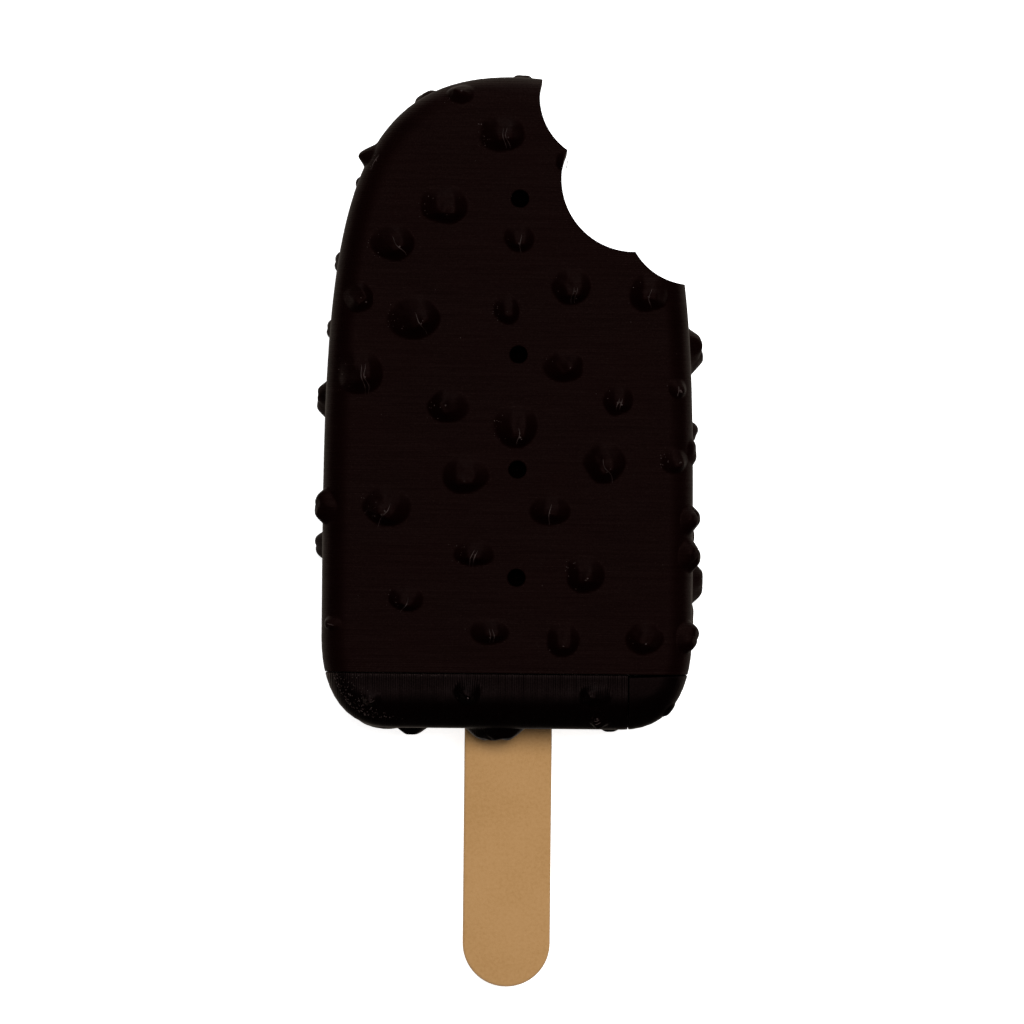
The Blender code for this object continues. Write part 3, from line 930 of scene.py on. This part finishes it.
def brown_plastic(name, layers_along, line_depth, base, roughness, shine, tint, seam_shine):
    """Dark printed plastic. Its layers are stacked along one axis, so their lines run across it. Below the
    seam the lines fade, and beside the seam it shines more."""
    nodes = Nodes(bpy.data.materials.new(name))
    place = nodes.add("TexCoord").outputs["Object"]
    split = nodes.add("SeparateXYZ")
    nodes.link(place, split.inputs[0])
    stack = nodes.math("DIVIDE", split.outputs[layers_along], LAYER_PITCH)
    wave = nodes.math("ABSOLUTE", nodes.math("SINE", nodes.math("MULTIPLY", stack, math.pi)))
    shift = nodes.add("TexWhiteNoise", noise_dimensions="1D")
    nodes.link(nodes.math("FLOOR", stack), shift.inputs["W"])
    fineness = [ACROSS_LINES if axis == layers_along else ALONG_LINES for axis in "XYZ"]
    streaks = nodes.noise(nodes.stretched(place, fineness), 1.0, detail=3, roughness=0.6)
    blotches = nodes.noise(place, BLOTCHES, detail=3)
    grain = nodes.noise(place, GRAIN, detail=2)

    bump = nodes.add("Bump")
    fade_end = ORIGIN.y + SEAM_Y - LINE_FADE
    strength = nodes.spread(split.outputs["Y"], FADED_LINES, 1, fade_end, fade_end + 0.8 * LINE_FADE)
    nodes.link(strength, bump.inputs["Strength"])
    bump.inputs["Distance"].default_value = line_depth
    relief = nodes.weighted((wave, 0.6), (shift.outputs["Value"], 0.35), (streaks, 0.9), (grain, 0.2))
    nodes.link(relief, bump.inputs["Height"])
    nodes.link(bump.outputs[0], nodes.shader.inputs["Normal"])

    light, dark = [tuple(part * share for part in base) for share in (1.15, 0.85)]
    mix = nodes.weighted((blotches, 0.7), (streaks, 0.3))
    nodes.link(nodes.ramp(mix, ((0.3, dark), (0.7, light))), nodes.shader.inputs["Base Color"])
    uneven = nodes.spread(blotches, roughness - 0.05, roughness + 0.05)
    nodes.link(uneven, nodes.shader.inputs["Roughness"])
    nodes.shader.inputs["IOR"].default_value = 1.45

    patchy = nodes.weighted((grain, 0.6), (streaks, 0.4))
    gloss = nodes.spread(patchy, 0.6 * shine, 1.5 * shine, 0.3, 0.72)
    off_seam = nodes.math("SUBTRACT", split.outputs["Y"], ORIGIN.y + SEAM_Y)
    by_seam = nodes.bell(nodes.math("DIVIDE", off_seam, SEAM_SHINE_REACH))
    more = nodes.math("ADD", nodes.math("MULTIPLY", by_seam, seam_shine), 1)
    nodes.link(nodes.math("MULTIPLY", gloss, more), nodes.shader.inputs["Specular IOR Level"])
    nodes.shader.inputs["Specular Tint"].default_value = (*tint, 1)
    return nodes.owner


TAN_SPECKLE = 2600
TAN_CLOUD = 160
TAN_GRAIN = 6500
TAN_SHADES = (
    (0.30, (0.285, 0.155, 0.056)),
    (0.50, (0.322, 0.180, 0.071)),
    (0.72, (0.345, 0.197, 0.082)),
)


def tan_plastic():
    """The stick's plastic, matt and finely speckled."""
    nodes = Nodes(bpy.data.materials.new("tan_plastic"))
    place = nodes.add("TexCoord").outputs["Object"]
    speckle = nodes.noise(place, TAN_SPECKLE, detail=3, roughness=0.7)
    cloud = nodes.noise(place, TAN_CLOUD, detail=2)
    grain = nodes.noise(place, TAN_GRAIN, detail=2)
    mix = nodes.weighted((speckle, 0.7), (cloud, 0.3))
    nodes.link(nodes.ramp(mix, TAN_SHADES), nodes.shader.inputs["Base Color"])
    nodes.link(nodes.spread(speckle, 0.5, 0.68), nodes.shader.inputs["Roughness"])
    bump = nodes.add("Bump")
    bump.inputs["Strength"].default_value = 0.6
    bump.inputs["Distance"].default_value = 0.02 * MM
    nodes.link(grain, bump.inputs["Height"])
    nodes.link(bump.outputs[0], nodes.shader.inputs["Normal"])
    nodes.shader.inputs["Specular IOR Level"].default_value = 0.35
    return nodes.owner


# The tones of the beads and threads, paler than the shell's. On the crests this paleness is a painted glint.
SPECK_MOTTLE = 900
SPECK_AND_GLINT_SHADES = ((0.35, (0.008, 0.004, 0.0035)), (0.65, (0.038, 0.026, 0.024)))


def speck_and_glint_plastic():
    """The stray beads and threads: the same plastic in a paler tone, which on the nuts' crests is a painted
    glint.
    """
    nodes = Nodes(bpy.data.materials.new("speck_and_glint_plastic"))
    place = nodes.add("TexCoord").outputs["Object"]
    colour = nodes.ramp(nodes.noise(place, SPECK_MOTTLE), SPECK_AND_GLINT_SHADES)
    nodes.link(colour, nodes.shader.inputs["Base Color"])
    nodes.shader.inputs["Roughness"].default_value = 0.35
    return nodes.owner


def dress(pieces, stick, specks):
    """Gives every piece its material and says what it replaces and rides on."""
    shell = brown_plastic(
        "shell_plastic",
        layers_along="Y",
        line_depth=0.018 * MM,
        base=SHELL_BROWN,
        roughness=0.33,
        shine=0.2,
        tint=(1, 0.62, 0.56),
        seam_shine=0.35,
    )
    cap = brown_plastic(
        "cap_plastic",
        layers_along="X",
        line_depth=0.05 * MM,
        base=CAP_BROWN,
        roughness=0.28,
        shine=0.34,
        tint=(1, 0.66, 0.64),
        seam_shine=1.8,
    )
    corner = brown_plastic(
        "corner_plastic",
        layers_along="Z",
        line_depth=0.012 * MM,
        base=CAP_BROWN,
        roughness=0.3,
        shine=0.21,
        tint=(1, 0.62, 0.6),
        seam_shine=0.6,
    )
    finishes = {
        "shell": (shell, "shell_plastic"),
        "end_cap": (cap, "cap_plastic"),
        "cap_corner": (corner, "cap_plastic"),
    }
    for name, (material, slot) in finishes.items():
        piece = pieces[name]
        piece.data.materials.clear()
        piece.data.materials.append(material)
        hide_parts(name)
        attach(piece, "root")
    specks.data.materials.append(speck_and_glint_plastic())
    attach(specks, "root")
    stick.data.materials.append(tan_plastic())
    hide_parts("stick")
    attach(stick, "root")
    stick.visible_glossy = False


# The studio.

FLOOR_SIZE = 8.0
FLOOR_GLOW = 0.8
OVERHEAD_POWER = 38
OVERHEAD_SIZE = 0.9
OVERHEAD_PLACE = (0.2, 0.42, 1.6)
BACKDROP = 0.92
DOME = 0.24

# The mirrored band of light: its strength, half width, shift to the right, and the stretches of the
# direction's y and z over which it rises. Below the horizon the warm floor takes over, dimmer towards -Y.
SHEEN_ARC = 0.34
SHEEN_ARC_WIDTH = 0.42
SHEEN_ARC_SHIFT = 0.08
SHEEN_ARC_Y = (-0.42, -0.04)
SHEEN_ARC_Z = (-0.75, -0.25)
SHEEN_BELOW = 0.26
SHEEN_BELOW_Y = (-0.8, 0)
SHEEN_BELOW_LEAST = 0.02
HORIZON = (-0.3, 0)
WARMTH = (1, 0.86, 0.74)


def make_floor():
    """A pale floor that glows a little."""
    bpy.ops.mesh.primitive_plane_add(size=FLOOR_SIZE, location=(0, 0, 0))
    floor = bpy.context.object
    floor.name = "studio_floor"
    nodes = Nodes(bpy.data.materials.new("pale_floor"))
    nodes.shader.inputs["Base Color"].default_value = (0.9, 0.9, 0.9, 1)
    nodes.shader.inputs["Roughness"].default_value = 0.9
    nodes.shader.inputs["Specular IOR Level"].default_value = 0.1
    nodes.shader.inputs["Emission Color"].default_value = (1, 1, 1, 1)
    nodes.shader.inputs["Emission Strength"].default_value = FLOOR_GLOW
    floor.data.materials.append(nodes.owner)
    floor.visible_glossy = False


def make_overhead_light():
    """A soft light almost straight above, which doesn't mirror itself in the plastic."""
    light = bpy.data.lights.new("overhead", "AREA")
    light.shape = "DISK"
    light.size = OVERHEAD_SIZE
    light.energy = OVERHEAD_POWER
    obj = bpy.data.objects.new("overhead", light)
    bpy.context.scene.collection.objects.link(obj)
    obj.location = ORIGIN + Vector((VIEW_X, VIEW_Y, 0)) + Vector(OVERHEAD_PLACE)
    obj.visible_camera = False
    obj.visible_glossy = False


def make_room():
    """Even soft light from all round, and what the plastic mirrors: a band of light from overhead to beyond
    the bar's top, with dark sides, and a dim warm floor."""
    world = bpy.data.worlds.new("studio")
    nodes = Nodes(world)
    split = nodes.add("SeparateXYZ")
    nodes.link(nodes.add("TexCoord").outputs["Generated"], split.inputs[0])
    x, y, z = split.outputs
    across = nodes.math("DIVIDE", nodes.math("SUBTRACT", x, SHEEN_ARC_SHIFT), SHEEN_ARC_WIDTH)
    arc = nodes.math("MULTIPLY", nodes.bell(across), nodes.spread(y, 0, SHEEN_ARC, *SHEEN_ARC_Y))
    arc = nodes.math("MULTIPLY", arc, nodes.spread(z, 0, 1, *SHEEN_ARC_Z))
    below = nodes.spread(z, SHEEN_BELOW, 0, *HORIZON)
    below = nodes.math("MULTIPLY", below, nodes.spread(y, SHEEN_BELOW_LEAST, 1, *SHEEN_BELOW_Y))
    sheen = nodes.math("ADD", arc, below)
    rays = nodes.add("LightPath").outputs
    dome = nodes.math("MULTIPLY", rays["Is Diffuse Ray"], DOME)
    backdrop = nodes.math("MULTIPLY", rays["Is Camera Ray"], BACKDROP)
    shiny = nodes.math("MULTIPLY", rays["Is Glossy Ray"], sheen)
    strength = nodes.math("ADD", nodes.math("ADD", dome, backdrop), shiny)
    background = world.node_tree.nodes["Background"]
    warmth = nodes.ramp(nodes.spread(z, 0, 1, *HORIZON), ((0, WARMTH), (1, (1, 1, 1))))
    nodes.link(warmth, background.inputs["Color"])
    nodes.link(strength, background.inputs["Strength"])
    bpy.context.scene.world = world
    bpy.context.scene.view_settings.view_transform = "Standard"


def make_camera():
    """Looks straight down on the bar, as wide as the view at the front face."""
    data = bpy.data.cameras.new("camera")
    data.sensor_width = SENSOR_WIDTH
    data.lens = SENSOR_WIDTH * CAMERA_HEIGHT / VIEW_WIDTH
    camera = bpy.data.objects.new("camera", data)
    bpy.context.scene.collection.objects.link(camera)
    camera.location = ORIGIN + Vector((VIEW_X, VIEW_Y, FRONT_Z + CAMERA_HEIGHT))
    camera.rotation_euler = (0, 0, VIEW_ROLL)
    bpy.context.scene.camera = camera


make_camera()
NUTS = make_nuts()
dress(make_bar(NUTS), make_stick(), make_specks(NUTS))
make_floor()
make_overhead_light()
make_room()
